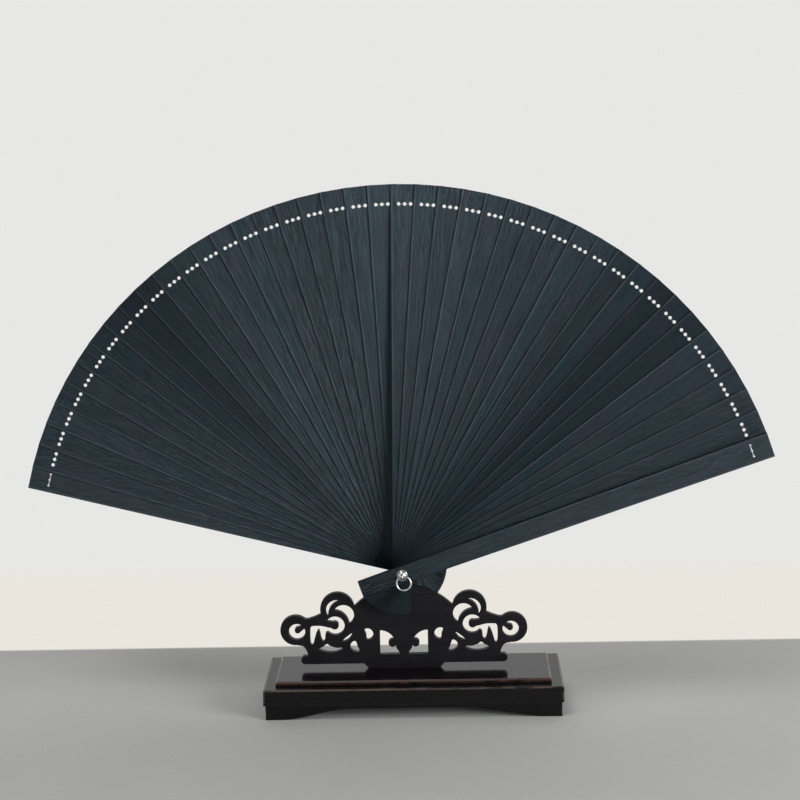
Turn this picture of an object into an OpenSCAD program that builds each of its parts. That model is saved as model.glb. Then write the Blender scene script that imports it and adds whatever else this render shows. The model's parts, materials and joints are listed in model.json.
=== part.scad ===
// Folding stick fan, open on its display stand.
// Thin flat sticks turn on one rivet between two thicker guards. The stand's
// sawn plate passes between the two middle sticks and carries the rivet.
// Lengths in millimetres. X runs along the plinth, Y from front to back, Z up.
// The origin is at the bottom centre of the whole object's box.

/* [Fan] */
// Pivot to the sticks' square tips
tip_r = 200; // [150:1:260]
// Pivot to the sticks' square tails
tail_r = 22.8; // [18:0.1:28]
// Angle between the two guards when the fan is open
spread = 146.3; // [100:0.1:170]
// How far the fan's middle stick leans to the left of upright
lean = 2; // [-5:0.1:5]
// Number of thin leaves between the two guards
leaf_count = 41; // [21:2:41]

/* [Leaves] */
// How far each leaf's tip lies over its neighbour's
leaf_overlap = 2.54; // [1:0.01:4]
// Width of a leaf at its tail
leaf_tail_w = 9.3; // [7:0.1:12]
// Thickness of a leaf
leaf_t = 0.28; // [0.2:0.01:0.5]
// Air between two leaves that lie on each other
leaf_gap = 0.12; // [0.08:0.01:0.3]

/* [Guards] */
// Width of a guard at its tip
guard_tip_w = 13.3; // [9:0.1:20]
// Width of a guard at its tail
guard_tail_w = 8.8; // [7:0.1:12]
// Thickness of a guard at its tail
guard_t = 2.3; // [1.5:0.1:4]
// Thickness of a guard at its tip
guard_tip_t = 1.4; // [1:0.1:3]
// Bevel along the edges of a guard's outer face
guard_bevel = 0.35; // [0.1:0.05:0.5]

/* [Thread holes] */
// Distance from the tips to the row of thread holes
hole_inset = 10; // [6:0.5:20]
// Diameter of a thread hole in a leaf
hole_d = 1.75; // [1:0.05:2.5]
// Diameter of a thread hole in a guard
guard_hole_d = 1.2; // [0.8:0.05:2]
// Distance between the three holes of one stick
hole_pitch = 3.05; // [2.6:0.05:4]

/* [Rivet and ring] */
// Diameter of the rivet's shaft
shaft_d = 3; // [2:0.1:4]
// Air round the shaft in the sticks' bores and in the saddle
shaft_clear = 0.05; // [0.02:0.01:0.1]
// Diameter of the two washers
washer_d = 5.8; // [5:0.1:9]
// Thickness of a washer
washer_t = 0.4; // [0.3:0.1:1]
// Diameter of a domed rivet head
head_d = 5.3; // [4.5:0.1:8]
// Height of a domed rivet head
head_h = 1.9; // [1:0.1:3]
// Inside diameter of the eye on the front head
eye_d = 1.5; // [1.4:0.1:3]
// Thickness of the eye's wire
eye_wire = 0.7; // [0.5:0.1:1]
// Ring radius to the middle of its wire
ring_r = 3.7; // [3.4:0.1:8]
// Thickness of the ring's wire
ring_wire = 0.9; // [0.6:0.05:1]
// How far the ring hangs round in its eye, to the right
ring_lean = 13; // [-20:1:20]

/* [Fretwork plate] */
// Thickness of the sawn plate
plate_t = 3.5; // [2.5:0.1:5]
// Air between the plate and the sticks at each side
plate_clear = 0.5; // [0.3:0.05:1]
// Radius of the dome
dome_r = 35.5; // [33:0.1:38]
// Height of the dome's centre above the plate's foot
dome_z = 9; // [8:0.1:11]
// Height of the pivot above the top of the dome
saddle_h = 8.1; // [5:0.1:12]
// Width of the saddle that the rivet lies in
saddle_w = 9; // [7:0.1:9]
// Length of the bar along the foot of the plate
bar_l = 108; // [90:1:120]
// Underside of that bar above the plate's foot
bar_z = 2.8; // [1:0.1:4]
// Height of that bar
bar_h = 4.4; // [3:0.1:6]
// Length of the tenon under the plate
tenon_l = 30; // [15:1:36]
// Depth of the tenon
tenon_h = 6; // [4:0.5:8]
// Air round the tenon in its mortise
tenon_clear = 0.1; // [0.05:0.05:0.3]

/* [Plinth] */
// How far the plinth's middle lies to the right of the fretwork's
plinth_shift = 4.9; // [-10:0.1:10]
// Length of the plinth's board
board_l = 154; // [130:1:185]
// Depth of the plinth's board from front to back
board_d = 62; // [50:1:90]
// Thickness of the board
board_h = 8.2; // [6:0.1:14]
// How far the skirt stands back under the board
skirt_inset = 1; // [0.5:0.1:3]
// Height of the skirt, with its two feet
skirt_h = 7.8; // [6:0.1:14]
// Rise of the arch under the skirt
arch_h = 5.5; // [2:0.1:5.8]
// Length of each foot, from the skirt's end to the arch
foot_l = 8; // [6:1:30]
// Length of the arch's rounded shoulder
shoulder_l = 35; // [10:1:40]
// Length of the raised panel
panel_l = 142; // [110:1:150]
// Depth of the raised panel from front to back
panel_d = 48; // [30:1:58]
// Height of the raised panel
panel_h = 2.4; // [1.5:0.1:4]
// Bevel round the raised panel and the board
panel_bevel = 0.8; // [0.3:0.1:1.2]

/* [Hidden] */
$fn = 64;
tiny = 0.01;
too_far = 400;

stick_count = leaf_count + 2;
last = stick_count - 1;
mid = last / 2;
stick_step = spread / last;
leaf_tip_w = 2 * tip_r * sin(stick_step / 2) + leaf_overlap;
hole_row_r = tip_r - hole_inset;
first_angle = 90 + lean - spread / 2;
last_angle = first_angle + spread;

// The sticks lie in layers along Y. The slot for the stand's plate opens
// between the two middle leaves, and both halves lean together to close it.
layer = leaf_t + leaf_gap;
slot = plate_t + 2 * plate_clear;
front_leaves = mid - 1;
tilt = atan(slot / 2 / tip_r);
half_stack = slot / 2 + mid * layer - leaf_gap / 2;
front_stack = half_stack - layer + leaf_gap + guard_t;
rear_stack = half_stack + leaf_gap + guard_t;
// The guards lean, so their outer faces stand out a little more at the washers
washer_gap = leaf_gap;

pivot_x = -((tip_r * (cos(first_angle) + cos(last_angle)))
    + guard_tip_w / 2 * (sin(first_angle) - sin(last_angle))) / 2;
plinth_x = pivot_x + plinth_shift;
bore_r = shaft_d / 2 + shaft_clear;

board_z = skirt_h;
panel_z = board_z + board_h;
panel_top = panel_z + panel_h;
saddle_z = dome_z + dome_r + saddle_h;
pivot_z = panel_top + saddle_z;

front_face = -(front_stack + washer_gap);
rear_face = rear_stack + washer_gap;
eye_r = (eye_d + eye_wire) / 2;
// The eye's wire is let into the top of the dome by its own thickness
eye_sink = 0.05;
eye_y = front_face - washer_t - head_h - eye_r + eye_wire / 2 + eye_sink;

function two_digits(n) = str(n < 10 ? "0" : "", n);
function leaf_name(n) = str("leaf_", two_digits(n));

// ---- Shared shapes ----

// Moves a shape drawn round the origin to the pivot
module at_pivot() {
    translate([pivot_x, 0, pivot_z]) children();
}

// Turns a shape drawn along +Z to an angle from +X, about the pivot
module turned(angle) {
    at_pivot() rotate([0, 90 - angle, 0]) children();
}

// A disc or pin along Y, from y to y + length
module disc_y(r, y, length) {
    translate([0, y + length, 0]) rotate([90, 0, 0]) cylinder(r = r, h = length);
}

// The bore for the rivet and the three thread holes of one stick
module stick_holes(thread_d) {
    disc_y(bore_r, -too_far / 2, too_far);
    for (k = [-1:1])
        translate([k * hole_pitch, 0, hole_row_r]) disc_y(thread_d / 2, -too_far / 2, too_far);
}

// Where the middle of a leaf's thickness lies along Y at the pivot, and its lean
function leaf_y(n) = n <= front_leaves
    ? -(slot / 2 + (front_leaves - n + 0.5) * layer)
    : slot / 2 + (n - front_leaves - 0.5) * layer;
function leaf_tilt(n) = n <= front_leaves ? -tilt : tilt;

// ---- Fan ----

// A leaf is a flat slat that tapers from its tip to its tail
module leaf(n) {
    color([0.13, 0.19, 0.21])
    turned(first_angle + n * stick_step)
    difference() {
        translate([0, leaf_y(n), 0]) rotate([leaf_tilt(n), 0, 0])
            translate([0, leaf_t / 2, 0]) rotate([90, 0, 0])
                linear_extrude(leaf_t) stick_outline(leaf_tail_w, leaf_tip_w);
        stick_holes(hole_d);
    }
}

module stick_outline(tail_w, tip_w) {
    polygon([
        [-tail_w / 2, -tail_r],
        [tail_w / 2, -tail_r],
        [tip_w / 2, tip_r],
        [-tip_w / 2, tip_r]
    ]);
}

// One end of a guard: its inner face lies at y = 0 and its outer face at -t
module guard_section(r, w, t) {
    translate([0, 0, r - tiny / 2]) linear_extrude(tiny)
        polygon([
            [-w / 2, 0],
            [w / 2, 0],
            [w / 2, guard_bevel - t],
            [w / 2 - guard_bevel, -t],
            [guard_bevel - w / 2, -t],
            [-w / 2, guard_bevel - t]
        ]);
}

// A guard is thicker than a leaf, tapers in width and in thickness, and is
// bevelled on its outer face. side is -1 for the front guard, 1 for the rear.
module guard(angle, side, inner_y) {
    color([0.17, 0.2, 0.21])
    turned(angle)
    difference() {
        translate([0, side * inner_y, 0]) rotate([side * tilt, 0, 0])
            mirror([0, side > 0 ? 1 : 0, 0])
                hull() {
                    guard_section(-tail_r, guard_tail_w, guard_t);
                    guard_section(tip_r, guard_tip_w, guard_tip_t);
                }
        stick_holes(guard_hole_d);
    }
}

module front_guard() {
    guard(first_angle, -1, half_stack - layer + leaf_gap);
}

module rear_guard() {
    guard(last_angle, 1, half_stack + leaf_gap);
}

// ---- Rivet and ring ----

module rivet_shaft() {
    color([0.75, 0.76, 0.78])
    at_pivot() disc_y(shaft_d / 2, front_face - washer_t, rear_face - front_face + 2 * washer_t);
}

// A washer lies between a guard and the rivet's head
module washer(y) {
    color([0.75, 0.76, 0.78])
    at_pivot() difference() {
        disc_y(washer_d / 2, y, washer_t);
        disc_y(bore_r, y - 1, washer_t + 2);
    }
}

module washer_front() {
    washer(front_face - washer_t);
}

module washer_rear() {
    washer(rear_face);
}

// A dome with its flat side at z = 0: part of a ball that is wider than it is high
module head_dome() {
    ball_r = (head_d * head_d / 4 + head_h * head_h) / (2 * head_h);
    intersection() {
        translate([0, 0, head_h - ball_r]) sphere(r = ball_r);
        cylinder(d = head_d + 1, h = head_h + 1);
    }
}

// The front head carries an upright eye for the ring
module rivet_head_front() {
    color([0.8, 0.81, 0.83])
    at_pivot() {
        union() {
            translate([0, front_face - washer_t, 0]) rotate([90, 0, 0]) head_dome();
            translate([0, eye_y, 0]) rotate([0, 90, 0])
                rotate_extrude() translate([eye_r, 0]) circle(d = eye_wire);
        }
    }
}

module rivet_head_rear() {
    color([0.8, 0.81, 0.83])
    at_pivot() translate([0, rear_face + washer_t, 0]) rotate([-90, 0, 0]) head_dome();
}

// The ring hangs in the eye, flat to the fan
module tassel_ring() {
    color([0.8, 0.81, 0.83])
    at_pivot() translate([0, eye_y, 0]) rotate([0, -ring_lean, 0]) translate([0, 0, -ring_r])
        rotate([90, 0, 0]) rotate_extrude() translate([ring_r, 0]) circle(d = ring_wire);
}

// ---- Fretwork plate ----

// A smooth closed curve through the points
function blend(a, b, c, d, t) = 0.5 * (2 * b + (c - a) * t
    + (2 * a - 5 * b + 4 * c - d) * t * t + (3 * b - a - 3 * c + d) * t * t * t);
function closed_curve(p, steps = 4) = let (n = len(p))
    [for (i = [0:n - 1], s = [0:steps - 1])
        blend(p[(i + n - 1) % n], p[i], p[(i + 1) % n], p[(i + 2) % n], s / steps)];

module smooth(p) {
    polygon(closed_curve(p));
}

module disc(x, z, r) {
    translate([x, z]) circle(r = r);
}

// One solid part of the board, drawn flat and given the board's thickness
module solid() {
    linear_extrude(plate_t) children();
}

// One saw cut, drawn flat and taken right through the board
module sawn() {
    translate([0, 0, -1]) linear_extrude(plate_t + 2) children();
}

module both_halves() {
    children();
    mirror([1, 0, 0]) children();
}

// The outer scroll's round end and the large loop beside the dome
end_c = [-56.6, 21.1];
end_r = 7.9;
loop_c = [-34.4, 32];
loop_r = 9;
// The middle scroll, under the large loop
mid_c = [-36.4, 23.4];
mid_r = 8.1;

// Half of the solid board, left of the middle: x from the middle, z from the foot
module half_body() {
    solid() disc(loop_c.x, loop_c.y, loop_r);
    solid() disc(end_c.x, end_c.y, end_r);
    // The body that ties the scrolls to each other and to the dome
    solid() smooth([
        [-56.5, 25.6], [-53.6, 27.7], [-50.5, 27], [-46.5, 28.1], [-42, 29.8],
        [-36, 29.6], [-28, 25.6], [-22, 19.6], [-19, 8.6], [-30, 5.6], [-44, 5.6],
        [-49.6, 6], [-50.6, 9.2], [-52.6, 12.4], [-56.4, 13.4], [-58.5, 15.6]
    ]);
}

// The bar along the foot, with rounded ends
module foot_bar() {
    end = bar_h / 2;
    solid() translate([-bar_l / 2 + end, bar_z]) square([bar_l - 2 * end, bar_h]);
    for (side = [-1, 1])
        solid() disc(side * (bar_l / 2 - end), bar_z + end, end);
}

// The foot that stands on the panel, and the tenon under it
module foot() {
    run_out = 7;
    solid() polygon([
        [-tenon_l / 2 - run_out, bar_z + 1],
        [-tenon_l / 2 - run_out / 2, 0],
        [tenon_l / 2 + run_out / 2, 0],
        [tenon_l / 2 + run_out, bar_z + 1]
    ]);
    solid() translate([-tenon_l / 2, -tenon_h]) square([tenon_l, tenon_h + bar_z]);
}

// A post over the dome, notched to carry the rivet's shaft
module saddle() {
    notch_lip = 1.5;
    post_root = 4;
    post_z = dome_z + dome_r - post_root;
    difference() {
        solid() translate([-saddle_w / 2, post_z])
            square([saddle_w, saddle_z + notch_lip - post_z]);
        sawn() disc(0, saddle_z, bore_r);
        sawn() translate([-bore_r, saddle_z]) square([2 * bore_r, notch_lip + 1]);
    }
}

window_w = 12.5;
window_z = 7.6;
window_h = 12.9;

// Half of the sawn openings
module half_openings() {
    // Crescents in the large loop
    sawn() difference() {
        disc(-34.8, 31.5, 5.6);
        disc(-31.9, 29.2, 7.4);
    }
    sawn() difference() {
        disc(-31.3, 28.9, 5.5);
        disc(mid_c.x, mid_c.y, mid_r);
    }
    // Round opening in the middle scroll, left open to its fringe
    sawn() disc(-35.8, 23.3, 5);
    // The two fingers of the fringe
    sawn() smooth([
        [-48.6, 22.6], [-46.5, 23.4], [-44, 23.4], [-41.5, 23], [-39, 22.1],
        [-39.4, 20.2], [-40.9, 19.2], [-41.2, 16.2], [-42.2, 14.8], [-43.2, 16.6],
        [-43.9, 20], [-44.6, 21.2], [-45.8, 19.2], [-46.8, 16], [-47.6, 13.3],
        [-48.6, 13.4], [-49, 17.1]
    ]);
    // Opening in the outer scroll
    sawn() disc(-55.8, 20.3, 4.3);
    // Boat under the scrolls, slit, and two half moons beside the dome
    sawn() smooth([
        [-44.6, 10.8], [-42.2, 12.2], [-40.3, 13.6], [-38.6, 12.6], [-35.5, 11.5],
        [-32.6, 11.5], [-32.6, 10.4], [-36, 9.1], [-40.5, 9.1]
    ]);
    sawn() smooth([
        [-32.5, 14.6], [-30.2, 17], [-27.3, 19.1], [-27, 18.5], [-28.6, 16.2], [-30.5, 15]
    ]);
    sawn() smooth([
        [-20.6, 20.9], [-18.8, 21.7], [-16.8, 20.7], [-15.9, 18.6], [-16.7, 16.5],
        [-18.4, 15.4], [-19.5, 15.9], [-19.7, 18.2]
    ]);
    sawn() smooth([
        [-25.3, 14.9], [-27.1, 14.4], [-28.1, 12.4], [-27.3, 10.3], [-25.2, 9],
        [-23.2, 9.4], [-24.2, 12]
    ]);
    // Quarter window beside the middle post: an arch over a widening foot
    sawn() intersection() {
        translate([-window_w, window_z]) square([window_w, window_h]);
        disc(-window_w - 0.2, window_z + 4.5, 8.5);
    }
    sawn() polygon([
        [-window_w, window_z], [-window_w, window_z + 4], [-4.3, window_z + 4],
        [-4.1, 11], [-2.6, 8.8], [-2.1, window_z]
    ]);
}

// Half of the tongues and buds that stand in the openings
module half_buds() {
    solid() disc(-36, 23.4, 2.1);
    solid() smooth([
        [-46.5, 26.6], [-40.5, 25.8], [-37.5, 25.4], [-35.5, 24.8], [-34.6, 23.2],
        [-36.4, 22], [-40, 22.6], [-43, 23.5], [-46.5, 23.6]
    ]);
    solid() disc(-55.4, 21.1, 1.6);
    solid() smooth([
        [-56.2, 22.4], [-54, 23.2], [-51.8, 26], [-49.8, 24.4], [-52.4, 21.6], [-54.6, 20.2]
    ]);
    solid() disc(-6, 13.6, 2.1);
    solid() translate([-6, 12.6]) square([6, 2.4]);
}

// The stand's upright is one board, fret-sawn right through
module fretwork_plate() {
    color([0.1, 0.08, 0.1])
    translate([pivot_x, plate_t / 2, panel_top]) rotate([90, 0, 0]) {
        difference() {
            union() {
                intersection() {
                    solid() disc(0, dome_z, dome_r);
                    solid() translate([-dome_r, bar_z]) square([2 * dome_r, 2 * dome_r]);
                }
                both_halves() half_body();
                foot_bar();
                foot();
                saddle();
            }
            both_halves() half_openings();
        }
        both_halves() half_buds();
    }
}

// ---- Plinth ----

// A slab whose upper edges are bevelled on all four sides, standing at z
module bevelled_slab(length, depth, height, bevel) {
    intersection() {
        translate([0, depth / 2, 0]) rotate([90, 0, 0])
            linear_extrude(depth) bevelled_profile(length, height, bevel);
        translate([-length / 2, 0, 0]) rotate([90, 0, 90])
            linear_extrude(length) bevelled_profile(depth, height, bevel);
    }
}

module bevelled_profile(width, height, bevel) {
    polygon([
        [-width / 2, 0],
        [width / 2, 0],
        [width / 2, height - bevel],
        [width / 2 - bevel, height],
        [bevel - width / 2, height],
        [-width / 2, height - bevel]
    ]);
}

// The slot that the fretwork's tenon stands in, cut to its full depth
module mortise() {
    length = tenon_l + 2 * tenon_clear;
    width = plate_t + 2 * tenon_clear;
    translate([pivot_x - length / 2, -width / 2, panel_top - tenon_h - tenon_clear])
        cube([length, width, tenon_h + 1]);
}

module plinth_panel() {
    color([0.12, 0.09, 0.1])
    difference() {
        translate([plinth_x, 0, panel_z]) bevelled_slab(panel_l, panel_d, panel_h, panel_bevel);
        mortise();
    }
}

module plinth_board() {
    color([0.1, 0.08, 0.09])
    difference() {
        translate([plinth_x, 0, board_z]) bevelled_slab(board_l, board_d, board_h, panel_bevel);
        mortise();
    }
}

skirt_l = board_l - 2 * skirt_inset;
skirt_d = board_d - 2 * skirt_inset;
arch_half = skirt_l / 2 - foot_l;

// Height of the arch at x: flat in the middle, easing down to each foot
function ease(t) = t * t * (3 - 2 * t);
function arch_at(x) = arch_h * ease(min(1, (arch_half - abs(x)) / shoulder_l));

module plinth_skirt() {
    arch_steps = 48;
    color([0.09, 0.07, 0.08])
    translate([plinth_x, skirt_d / 2, 0]) rotate([90, 0, 0])
        linear_extrude(skirt_d)
            difference() {
                translate([-skirt_l / 2, 0]) square([skirt_l, skirt_h]);
                polygon(concat(
                    [[arch_half, -1], [-arch_half, -1]],
                    [for (i = [0:arch_steps])
                        let (x = arch_half * (2 * i / arch_steps - 1)) [x, arch_at(x)]]
                ));
            }
}

// ---- Assembly ----

front_guard();
rear_guard();
for (n = [1:leaf_count])
    leaf(n);
rivet_shaft();
rivet_head_front();
rivet_head_rear();
washer_front();
washer_rear();
tassel_ring();
fretwork_plate();
plinth_panel();
plinth_board();
plinth_skirt();
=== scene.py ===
"""A folding stick fan, open on its stand: finishes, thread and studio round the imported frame."""
import json
import math

import bpy
import numpy as np
from mathutils import Matrix, Vector

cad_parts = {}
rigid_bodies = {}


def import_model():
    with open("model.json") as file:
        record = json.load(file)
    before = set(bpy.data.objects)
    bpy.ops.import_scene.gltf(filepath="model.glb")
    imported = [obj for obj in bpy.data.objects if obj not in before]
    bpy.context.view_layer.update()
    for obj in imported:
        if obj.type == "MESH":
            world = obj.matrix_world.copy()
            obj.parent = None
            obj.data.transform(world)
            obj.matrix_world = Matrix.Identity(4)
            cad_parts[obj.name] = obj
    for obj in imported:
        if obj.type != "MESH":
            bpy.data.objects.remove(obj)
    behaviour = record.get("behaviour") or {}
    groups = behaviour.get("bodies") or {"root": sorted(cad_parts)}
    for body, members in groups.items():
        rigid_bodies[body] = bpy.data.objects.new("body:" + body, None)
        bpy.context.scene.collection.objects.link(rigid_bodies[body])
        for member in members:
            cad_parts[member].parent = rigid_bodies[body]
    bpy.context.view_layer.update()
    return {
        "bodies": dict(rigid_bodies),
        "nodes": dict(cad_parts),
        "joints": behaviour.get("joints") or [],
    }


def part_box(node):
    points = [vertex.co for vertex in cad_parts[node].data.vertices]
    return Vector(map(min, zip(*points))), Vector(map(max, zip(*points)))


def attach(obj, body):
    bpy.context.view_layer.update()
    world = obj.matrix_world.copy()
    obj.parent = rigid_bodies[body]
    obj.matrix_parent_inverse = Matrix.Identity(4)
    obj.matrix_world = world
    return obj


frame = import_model()


# ---- Camera ------------------------------------------------------------------------------
# A long lens a little over a metre in front of the stand, looking slightly down on it.
# It is turned a touch to the left and rolled a touch, as a hand-held camera is.
PIVOT = Vector(next(j["pos_m"] for j in frame["joints"] if j["name"] == "fold"))
board_low, board_high = (Vector(corner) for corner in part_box("plinth_board"))
plinth_x = (board_low.x + board_high.x) / 2

lens = bpy.data.cameras.new("camera")
lens.sensor_width = 36.0
lens.lens = 99.2
camera = bpy.data.objects.new("camera", lens)
bpy.context.scene.collection.objects.link(camera)
pitch, yaw, roll = math.radians(9.41), math.radians(-1.2), math.radians(-1.19)
camera.matrix_world = (
    Matrix.Translation((plinth_x + 0.019, -1.117, 0.3455))
    @ Matrix.Rotation(-yaw, 4, "Z")
    @ Matrix.Rotation(math.pi / 2 - pitch, 4, "X")
    @ Matrix.Rotation(roll, 4, "Z")
)
bpy.context.scene.camera = camera
bpy.context.scene.view_settings.view_transform = "Standard"


# ---- Stage -------------------------------------------------------------------------------
# A grey table top that gives way to a pale wall behind the stand, and soft light from a
# ceiling panel and from windows on either side.
class Wire:
    """One output socket. Arithmetic on it adds Math nodes; node() adds any other node."""

    def __init__(self, tree, socket=None):
        self.tree, self.socket = tree, socket

    def node(self, kind, values=None, out=0, stops=None, **settings):
        """Adds a node: its settings first, then the values or links of its sockets."""
        made = self.tree.nodes.new(kind)
        for name, value in settings.items():
            setattr(made, name, value)
        if stops:
            ramp = made.color_ramp.elements
            while len(ramp) < len(stops):
                ramp.new(0.5)
            for element, (place, colour) in zip(ramp, stops):
                element.position, element.color = place, colour
        for key, value in (values or {}).items():
            self.link(value, made.inputs[key])
        return Wire(self.tree, made.outputs[out])

    def link(self, value, socket):
        if isinstance(value, Wire):
            self.tree.links.new(value.socket, socket)
        else:
            socket.default_value = value

    def also(self, out):
        """Another output of the same node."""
        return Wire(self.tree, self.socket.node.outputs[out])

    def maths(self, operation, *values):
        return self.node("ShaderNodeMath", dict(enumerate(values)), operation=operation)

    def __add__(self, other):
        return self.maths("ADD", self, other)

    def __sub__(self, other):
        return self.maths("SUBTRACT", self, other)

    def __mul__(self, other):
        return self.maths("MULTIPLY", self, other)

    def __rsub__(self, other):
        return self.maths("SUBTRACT", other, self)

    __radd__ = __add__
    __rmul__ = __mul__

    def __abs__(self):
        return self.maths("ABSOLUTE", self)

    def ramp(self, low, high, start=0.0, end=1.0):
        """Goes smoothly from start to end as this value goes from low to high."""
        return self.node(
            "ShaderNodeMapRange",
            {"Value": self, "From Min": low, "From Max": high, "To Min": start, "To Max": end},
            interpolation_type="SMOOTHSTEP",
        )

    def blend(self, first, second):
        """Mixes two colours by this value."""
        return self.node(
            "ShaderNodeMix", {0: self, 6: first, 7: second}, out=2, data_type="RGBA"
        )

    def noise(self, x, y, z, detail=2.0, roughness=0.5):
        """Noise at three coordinates, so that each can have its own scale."""
        place = self.node("ShaderNodeCombineXYZ", {0: x, 1: y, 2: z})
        return self.node(
            "ShaderNodeTexNoise",
            {"Vector": place, "Scale": 1.0, "Detail": detail, "Roughness": roughness},
        )


def rgb(red, green, blue):
    return (red, green, blue, 1.0)


def new_material(name):
    """An empty material and a wire to start its nodes from."""
    material = bpy.data.materials.new(name)
    material.use_nodes = True
    material.node_tree.nodes.clear()
    return material, Wire(material.node_tree)


def finish_material(material, start, values, surface="ShaderNodeBsdfPrincipled"):
    shader = start.node(surface, values)
    output = material.node_tree.nodes.new("ShaderNodeOutputMaterial")
    material.node_tree.links.new(shader.socket, output.inputs["Surface"])
    return material


def position_mm(start):
    """The piece's own coordinates as three wires, in millimetres."""
    place = start.node("ShaderNodeTexCoord", out="Object")
    x = place.node("ShaderNodeSeparateXYZ", {0: place}, out=0)
    return x * 1000, x.also(1) * 1000, x.also(2) * 1000


WALL = rgb(0.80, 0.80, 0.79)


def studio_floor():
    material, start = new_material("studio_floor")
    x, y, z = position_mm(start)
    table_end, ledge_end = 108.0, 287.0
    mottle = start.noise(x * 0.012, y * 0.012, 0.0)
    table = mottle.blend(rgb(0.55, 0.555, 0.54), rgb(0.62, 0.62, 0.61))
    ledge = y.ramp(ledge_end - 20, ledge_end + 20).blend(rgb(0.82, 0.79, 0.73), WALL)
    beyond = y.ramp(table_end - 2, table_end + 2)
    lit = start.node(
        "ShaderNodeBsdfPrincipled",
        {"Base Color": beyond.blend(table, ledge), "Roughness": 0.75, "Specular IOR Level": 0.1},
    )
    seen_table = mottle.blend(rgb(0.37, 0.375, 0.365), rgb(0.42, 0.42, 0.41))
    pale = start.node(
        "ShaderNodeEmission", {"Color": beyond.blend(seen_table, ledge), "Strength": 1.0}
    )
    seen = start.node("ShaderNodeLightPath", out="Is Camera Ray")
    seen = start.maths("MAXIMUM", seen, seen.also("Is Glossy Ray"))
    distance = start.maths("SQRT", x * x + y * y)
    far = start.maths("MAXIMUM", beyond, distance.ramp(320.0, 700.0))
    return finish_material(
        material, start, {0: seen * far, 1: lit, 2: pale}, surface="ShaderNodeMixShader"
    )


floor_mesh = bpy.data.meshes.new("floor")
floor_mesh.from_pydata(
    [(-30, -30, 0), (30, -30, 0), (30, 30, 0), (-30, 30, 0)], [], [(0, 1, 2, 3)]
)
floor_mesh.materials.append(studio_floor())
floor = bpy.data.objects.new("floor", floor_mesh)
bpy.context.scene.collection.objects.link(floor)

world = bpy.data.worlds.new("studio")
world.use_nodes = True
bpy.context.scene.world = world
background = world.node_tree.nodes["Background"]
sky = Wire(world.node_tree)
toward = sky.node("ShaderNodeTexCoord", out="Generated")
toward_wall = toward.node("ShaderNodeSeparateXYZ", {0: toward}, out=1)
camera_ray = sky.node("ShaderNodeLightPath", out="Is Camera Ray")
room = toward_wall.ramp(0.05, 0.5, 0.10, 0.85)
sky.link(sky.maths("MAXIMUM", room, camera_ray), background.inputs["Strength"])
background.inputs["Color"].default_value = WALL


def softbox(name, place, target, size, power, colour):
    light = bpy.data.lights.new(name, "AREA")
    light.shape, light.size, light.energy, light.color = "SQUARE", size, power, colour
    holder = bpy.data.objects.new(name, light)
    holder.location = place
    aim = Vector(target) - Vector(place)
    holder.rotation_euler = aim.to_track_quat("-Z", "Y").to_euler()
    bpy.context.scene.collection.objects.link(holder)


softbox("ceiling_panel", (-0.4, -0.5, 1.5), (0, 0, 0.15), 0.8, 6.0, (1.0, 0.98, 0.95))
softbox("right_window", (1.25, -0.95, 0.35), (0, 0, 0.15), 0.8, 25.0, (0.97, 0.98, 1.0))
softbox("left_window", (-1.3, -0.9, 0.5), (0, 0, 0.15), 0.6, 2.5, (0.95, 0.98, 1.0))


# ---- Leaves and guards -------------------------------------------------------------------
# Slats split from the outer wall of bamboo, planed thin, dyed a blue-black and polished.
# The dye takes unevenly along the fibres, and the edges rub lighter where they slide; a painted
# highlight lies on that lighter line, a painted shadow line darkens each long edge, and painted
# shade darkens the heads near the pivot.
LEAVES = sorted(name for name in frame["nodes"] if name.startswith("leaf_"))
STICKS = ["front_guard", *LEAVES, "rear_guard"]


def stick_points(name):
    """A stick's corners as a table of distances from the pivot: right, back and up, in mm."""
    mesh = frame["nodes"][name].data
    places = np.empty(len(mesh.vertices) * 3)
    mesh.vertices.foreach_get("co", places)
    return (places.reshape(-1, 3) - PIVOT) * 1000


def stick_angle(name):
    """The direction of a stick's middle line, from +X towards +Z."""
    points = stick_points(name)
    reach = np.hypot(points[:, 0], points[:, 2])
    tip = points[reach > reach.max() - 1.0]
    low, high = tip[tip[:, 0].argmin()], tip[tip[:, 0].argmax()]
    middle = (low + high) / 2
    return math.atan2(middle[2], middle[0])


first_angle, last_angle = stick_angle(STICKS[0]), stick_angle(STICKS[-1])
stick_step = (last_angle - first_angle) / (len(STICKS) - 1)


def stick_shape(number):
    """Tail and tip distance, and half widths there, along a stick's own middle line, in mm."""
    points = stick_points(STICKS[number])
    angle = first_angle + number * stick_step
    along = points[:, 0] * math.cos(angle) + points[:, 2] * math.sin(angle)
    across = points[:, 2] * math.cos(angle) - points[:, 0] * math.sin(angle)
    tail, tip = along.min(), along.max()
    half_tail = across[along < tail + 0.5].max()
    half_tip = across[along > tip - 0.5].max()
    return tail, tip, half_tail, half_tip


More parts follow.
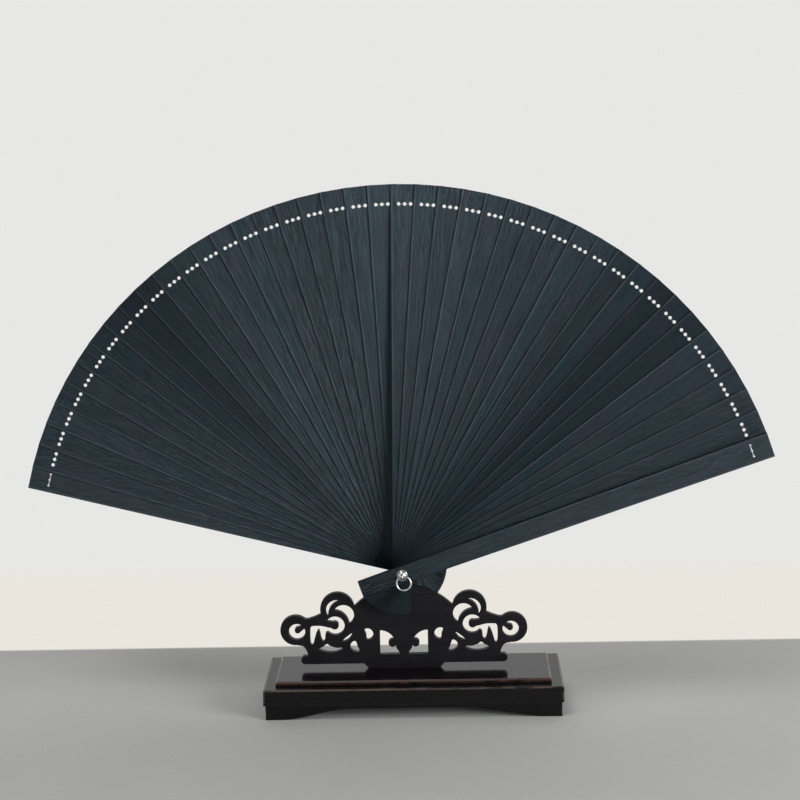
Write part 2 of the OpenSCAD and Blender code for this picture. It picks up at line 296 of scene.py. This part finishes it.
def bamboo(name, number, deep, pale, plum, rub_highlight_colour, sheen):
    """Dyed bamboo. Each stick's own number turns the grain along its own middle line."""
    tail, tip, half_tail, half_tip = stick_shape(number)
    material, start = new_material(name)
    x, y, z = position_mm(start)
    x, z = x - PIVOT.x * 1000, z - PIVOT.z * 1000
    stick = start.node("ShaderNodeObjectInfo", out="Object Index")
    angle = stick * stick_step + first_angle
    cosine, sine = start.maths("COSINE", angle), start.maths("SINE", angle)
    along = x * cosine + z * sine
    across = z * cosine - x * sine

    seed = stick * 7.31
    fibre = start.noise(across * 5.5, along * 0.02, seed, detail=3.0, roughness=0.6)
    hair = start.noise(across * 14.0, along * 0.05, seed + 31.7, detail=2.0)
    strand = start.noise(across * 2.1, along * 0.018, seed + 5.1, detail=2.0, roughness=0.7)
    streak = start.noise(across * 0.75, along * 0.012, seed + 3.3, detail=2.0)
    cloud = start.noise(across * 0.12, along * 0.03, seed + 11.9, detail=2.0)
    bundle = start.noise(across * 8.0, along * 0.35, seed + 17.1, detail=1.0).ramp(0.62, 0.72)
    tone = start.noise(seed, 0.5, 0.5, detail=0.0)

    colour = (fibre * 0.5 + strand * 0.5).ramp(0.36, 0.64).blend(deep, pale)
    colour = (streak.ramp(0.45, 0.7) * 0.4).blend(colour, plum)
    colour = (cloud.ramp(0.45, 0.7) * 0.45).blend(colour, plum)
    colour = (bundle * 0.35).blend(colour, deep)

    half_width = (along - tail) * ((half_tip - half_tail) / (tip - tail)) + half_tail
    inside = half_width - abs(across)
    # Rubbed lighter just inside each long edge, with a painted highlight along that line.
    rub_and_highlight = inside.ramp(0.3, 0.45) * inside.ramp(0.6, 1.2, 1.0, 0.0)
    rub_and_highlight = rub_and_highlight * hair.ramp(0.2, 0.5) * along.ramp(30.0, 110.0, 0.0, 0.5)
    colour = rub_and_highlight.blend(colour, rub_highlight_colour)
    # Random tone per stick, times a painted shadow line along each long edge.
    level = tone.ramp(0.3, 0.7, 0.75, 1.25) * inside.ramp(0.12, 0.35, 0.15, 1.0)
    # Painted shade: darker towards the pivot, where the heads stack.
    level = level * along.ramp(-12.0, 25.0, 0.3, 1.0)
    colour = start.node("ShaderNodeVectorMath", {0: colour, 3: level}, operation="SCALE")

    roughness = strand.ramp(0.3, 0.7, 0.38, 0.28) + inside.ramp(0.1, 0.25, 0.3, 0.0)
    height = fibre * 0.45 + hair * 0.35 - bundle * 0.1
    bump = start.node("ShaderNodeBump", {"Height": height, "Strength": 1.0, "Distance": 0.0005})
    return finish_material(
        material,
        start,
        {
            "Base Color": colour,
            "Roughness": roughness,
            "Normal": bump,
            "Specular IOR Level": 0.5,
            "Specular Tint": sheen,
        },
    )


# The fourth colour is the rubbed edge together with its painted highlight.
leaf_bamboo = bamboo(
    "leaf_bamboo", 1, rgb(0.002, 0.007, 0.010), rgb(0.008, 0.020, 0.026),
    rgb(0.018, 0.013, 0.022), rgb(0.075, 0.092, 0.100), rgb(0.66, 0.87, 1.0),
)
guard_bamboo = bamboo(
    "guard_bamboo", 0, rgb(0.004, 0.009, 0.012), rgb(0.014, 0.024, 0.030),
    rgb(0.022, 0.018, 0.026), rgb(0.060, 0.072, 0.080), rgb(0.70, 0.88, 1.0),
)


def give(node, material):
    frame["nodes"][node].data.materials[0] = material


for number, name in enumerate(STICKS):
    frame["nodes"][name].pass_index = number
    give(name, guard_bamboo if "guard" in name else leaf_bamboo)


# ---- Thread -------------------------------------------------------------------------------
# Fine white thread sewn through each stick's three holes, drawn tight round the wood
# between them; several turns lie side by side on the guards, where it starts and ends.
WIRE_MM = 0.10
TURN_STEP_MM = 0.14


def stitch_nodes(material):
    """A node group that winds closed turns of thread round the two bridges of a stick."""
    group = bpy.data.node_groups.new("stitch", "GeometryNodeTree")
    sockets = {}
    for name, kind in (
        ("Bridge", "NodeSocketFloat"), ("Depth", "NodeSocketFloat"),
        ("Slant", "NodeSocketFloat"), ("Pitch", "NodeSocketFloat"),
        ("Turns", "NodeSocketInt"), ("Row", "NodeSocketVector"),
        ("Lean", "NodeSocketFloat"), ("Pivot", "NodeSocketVector"),
    ):
        sockets[name] = group.interface.new_socket(name, in_out="INPUT", socket_type=kind)
    group.interface.new_socket("Geometry", in_out="OUTPUT", socket_type="NodeSocketGeometry")
    start = Wire(group)
    entry = start.node("NodeGroupInput", out="Bridge")
    wire = WIRE_MM / 1000

    outline = start.node(
        "GeometryNodeCurvePrimitiveQuadrilateral",
        {"Width": entry, "Height": entry.also("Depth")},
    )
    rounded = start.node(
        "GeometryNodeFilletCurve", {"Curve": outline, "Count": 3, "Radius": wire * 0.9},
        mode="POLY",
    )
    section = start.node(
        "GeometryNodeCurvePrimitiveCircle", {"Resolution": 8, "Radius": wire / 2}
    )
    turn = start.node("GeometryNodeCurveToMesh", {"Curve": rounded, "Profile Curve": section})
    slant = start.node("ShaderNodeCombineXYZ", {0: entry.also("Slant")})
    turn = start.node("GeometryNodeTransform", {"Geometry": turn, "Rotation": slant})

    beside = start.node(
        "GeometryNodeMeshLine",
        {"Count": entry.also("Turns"), "Offset": (0.0, 0.0, TURN_STEP_MM / 1000)},
    )
    wound = start.node("GeometryNodeInstanceOnPoints", {"Points": beside, "Instance": turn})
    step = start.node("ShaderNodeCombineXYZ", {0: entry.also("Pitch")})
    bridges = start.node("GeometryNodeMeshLine", {"Count": 2, "Offset": step})
    sewn = start.node("GeometryNodeInstanceOnPoints", {"Points": bridges, "Instance": wound})
    sewn = start.node(
        "GeometryNodeTransform", {"Geometry": sewn, "Translation": entry.also("Row")}
    )
    lean = start.node("ShaderNodeCombineXYZ", {1: entry.also("Lean")})
    sewn = start.node(
        "GeometryNodeTransform",
        {"Geometry": sewn, "Translation": entry.also("Pivot"), "Rotation": lean},
    )
    solid = start.node("GeometryNodeRealizeInstances", {"Geometry": sewn})
    solid = start.node("GeometryNodeSetMaterial", {"Geometry": solid, "Material": material})
    leave = group.nodes.new("NodeGroupOutput")
    group.links.new(solid.socket, leave.inputs["Geometry"])
    return group, {name: socket.identifier for name, socket in sockets.items()}


def thread_white():
    material, start = new_material("thread_white")
    x, y, z = position_mm(start)
    ply = start.noise(x * 6.0, y * 6.0, z * 6.0, detail=2.0)
    grime = start.noise(x * 0.5, y * 0.5, z * 0.5)
    colour = ply.blend(rgb(0.70, 0.71, 0.70), rgb(0.85, 0.85, 0.83))
    colour = (grime.ramp(0.5, 0.8) * 0.4).blend(colour, rgb(0.45, 0.46, 0.47))
    bump = start.node("ShaderNodeBump", {"Height": ply, "Strength": 0.4, "Distance": 0.00002})
    roughness = ply.ramp(0.3, 0.7, 0.5, 0.65)
    return finish_material(
        material, start, {"Base Color": colour, "Roughness": roughness, "Normal": bump}
    )


stitch_group, stitch_inputs = stitch_nodes(thread_white())


def sew(number):
    """Winds the thread on one stick, measured from the stick's own holes."""
    name = STICKS[number]
    points = stick_points(name)
    angle = first_angle + number * stick_step
    along = points[:, 0] * math.cos(angle) + points[:, 2] * math.sin(angle)
    across = points[:, 0] * math.sin(angle) - points[:, 2] * math.cos(angle)
    reach = stick_shape(number)[1] * 0.9
    rims = (along > reach) & (along < along.max() - 2) & (abs(across) < abs(across).max() - 2)
    row, right = float(along[rims].mean()), float(across[rims].max())
    middle_hole = rims & (abs(across) < right / 3)
    radius = float(across[middle_hole].max())
    pitch = right - radius
    front, back = float(points[rims, 1].min()), float(points[rims, 1].max())
    depth = back - front + WIRE_MM * 1.1
    turns = 4 if "guard" in name else 1
    # Front runs lie a little lower than back runs, so that in the shut fan the threads of
    # neighbouring sticks pass beside each other.
    shift = WIRE_MM * 1.8
    slant = math.atan2(shift, depth / 2)

    blank = bpy.data.meshes.new("blank")
    holder = bpy.data.objects.new(f"stitch_{number:02d}", blank)
    bpy.context.scene.collection.objects.link(holder)
    modifier = holder.modifiers.new("stitch", "NODES")
    modifier.node_group = stitch_group
    for key, value in (
        ("Bridge", (pitch - 2 * radius + WIRE_MM * 1.2) / 1000),
        ("Depth", depth / math.cos(slant) / 1000),
        ("Slant", slant),
        ("Pitch", pitch / 1000),
        ("Turns", turns),
        ("Row", (
            -pitch / 2000, (front + back) / 2000, (row - TURN_STEP_MM / 2 * (turns - 1)) / 1000
        )),
        ("Lean", math.pi / 2 - angle),
        ("Pivot", tuple(PIVOT)),
    ):
        modifier[stitch_inputs[key]] = value
    graph = bpy.context.evaluated_depsgraph_get()
    mesh = bpy.data.meshes.new_from_object(holder.evaluated_get(graph))
    holder.modifiers.clear()
    holder.data = mesh
    bpy.data.meshes.remove(blank)
    empties = frame["bodies"].items()
    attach(holder, next(body for body, empty in empties if empty == frame["nodes"][name].parent))


for number in range(len(STICKS)):
    sew(number)


# ---- Rivet, washers and ring --------------------------------------------------------------
# A nickel-plated steel pin with domed heads, turned washers and a closed wire ring. The
# plating is polished, with faint turning marks and handling haze.
def plated(name, tint, haze):
    material, start = new_material(name)
    x, y, z = position_mm(start)
    smear = start.noise(x * 0.9, y * 0.9, z * 0.9, detail=3.0)
    scratch = start.noise(x * 9.0, y * 9.0, z * 1.2, detail=2.0, roughness=0.7)
    colour = smear.ramp(0.4, 0.75).blend(tint, rgb(*(0.82 * v for v in tint[:3])))
    roughness = smear.ramp(0.35, 0.75, haze, haze + 0.10) + scratch.ramp(0.6, 0.8) * 0.06
    bump = start.node("ShaderNodeBump", {"Height": scratch, "Strength": 0.12, "Distance": 0.00003})
    return finish_material(
        material,
        start,
        {"Base Color": colour, "Metallic": 1.0, "Roughness": roughness, "Normal": bump},
    )


nickel = plated("nickel", rgb(0.95, 0.94, 0.92), 0.28)
for name in ("rivet_head_front", "rivet_head_rear", "tassel_ring"):
    give(name, nickel)
washer_steel = plated("washer_steel", rgb(0.62, 0.61, 0.60), 0.26)
for name in ("rivet_shaft", "washer_front", "washer_rear"):
    give(name, washer_steel)


# ---- Fretwork plate and plinth ------------------------------------------------------------
# Close-grained wood stained black and lacquered. The sawn plate is satin; the plinth is
# rubbed to a gloss, and its edges have worn through to the brown under the black.
def edge_nearness(start, node, spots):
    """How near a point on a box-like node is to one of its edges, in mm."""
    low, high = (np.array(corner) * 1000 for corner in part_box(node))
    gaps = []
    for wire, near, far in zip(spots, low, high):
        middle, half = float(near + far) / 2, float(far - near) / 2
        gaps.append(half - abs(wire - middle))
    widest = start.maths("MAXIMUM", start.maths("MAXIMUM", gaps[0], gaps[1]), gaps[2])
    nearest = start.maths("MINIMUM", start.maths("MINIMUM", gaps[0], gaps[1]), gaps[2])
    return gaps[0] + gaps[1] + gaps[2] - widest - nearest


def lacquer(name, node, deep, brown, worn, shine, level, rub_width):
    material, start = new_material(name)
    x, y, z = position_mm(start)
    grain = start.noise(x * 0.035, y * 1.1, z * 1.1, detail=4.0, roughness=0.6)
    pore = start.noise(x * 0.25, y * 5.0, z * 5.0, detail=1.0).ramp(0.62, 0.74)
    dust = start.noise(x * 0.6, y * 0.6, z * 0.6, detail=5.0, roughness=0.7)
    wear = start.noise(x * 0.12, y * 0.4, z * 0.4, detail=3.0)
    near = edge_nearness(start, node, (x, y, z))
    foot = float(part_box(node)[0][2]) * 1000
    handled = z.ramp(foot + 1.8 - rub_width, foot + 2.6 - rub_width)
    edge = near.ramp(rub_width / 2, rub_width, 1.0, 0.0) * wear.ramp(0.36, 0.56) * handled
    colour = (grain.ramp(0.45, 0.75) * 0.6).blend(deep, brown)
    colour = (edge * 0.75).blend(colour, worn)
    colour = (dust.ramp(0.62, 0.85) * 0.05).blend(colour, rgb(0.25, 0.24, 0.23))
    roughness = dust.ramp(0.4, 0.8, shine, shine + 0.12) + edge * 0.2
    bump = start.node(
        "ShaderNodeBump",
        {"Height": grain * 0.5 - pore * 0.3, "Strength": 0.10, "Distance": 0.00008},
    )
    return finish_material(
        material,
        start,
        {
            "Base Color": colour,
            "Roughness": roughness,
            "Normal": bump,
            "Specular IOR Level": level,
        },
    )


give("plinth_panel", lacquer(
    "panel_lacquer", "plinth_panel", rgb(0.005, 0.004, 0.005), rgb(0.016, 0.010, 0.009),
    rgb(0.075, 0.040, 0.030), 0.10, 0.25, 1.5,
))
give("plinth_board", lacquer(
    "board_lacquer", "plinth_board", rgb(0.004, 0.004, 0.005), rgb(0.012, 0.009, 0.009),
    rgb(0.110, 0.070, 0.056), 0.22, 0.25, 1.0,
))
give("plinth_skirt", lacquer(
    "skirt_lacquer", "plinth_skirt", rgb(0.004, 0.004, 0.004), rgb(0.010, 0.008, 0.008),
    rgb(0.040, 0.028, 0.025), 0.34, 0.2, 0.8,
))


def stained():
    material, start = new_material("stained_fretwork")
    x, y, z = position_mm(start)
    grain = start.noise(x * 0.05, y * 1.5, z * 0.9, detail=4.0, roughness=0.6)
    blotch = start.noise(x * 0.10, y * 0.10, z * 0.10, detail=3.0)
    saw = start.noise(x * 0.7, y * 6.0, z * 0.7, detail=2.0)
    rounded = start.node("ShaderNodeBevel", {"Radius": 0.00035}, samples=4)
    black, brown = rgb(0.005, 0.005, 0.007), rgb(0.014, 0.010, 0.013)
    colour = (grain.ramp(0.4, 0.75) * 0.7).blend(black, brown)
    colour = (blotch.ramp(0.45, 0.7) * 0.4).blend(colour, rgb(0.008, 0.010, 0.013))
    roughness = blotch.ramp(0.3, 0.7, 0.36, 0.5) + grain * 0.08
    bump = start.node(
        "ShaderNodeBump",
        {
            "Height": grain * 0.6 + saw * 0.2, "Strength": 0.2, "Distance": 0.00010,
            "Normal": rounded,
        },
    )
    return finish_material(
        material,
        start,
        {
            "Base Color": colour,
            "Roughness": roughness,
            "Normal": bump,
            "Specular IOR Level": 0.25,
        },
    )


give("fretwork_plate", stained())
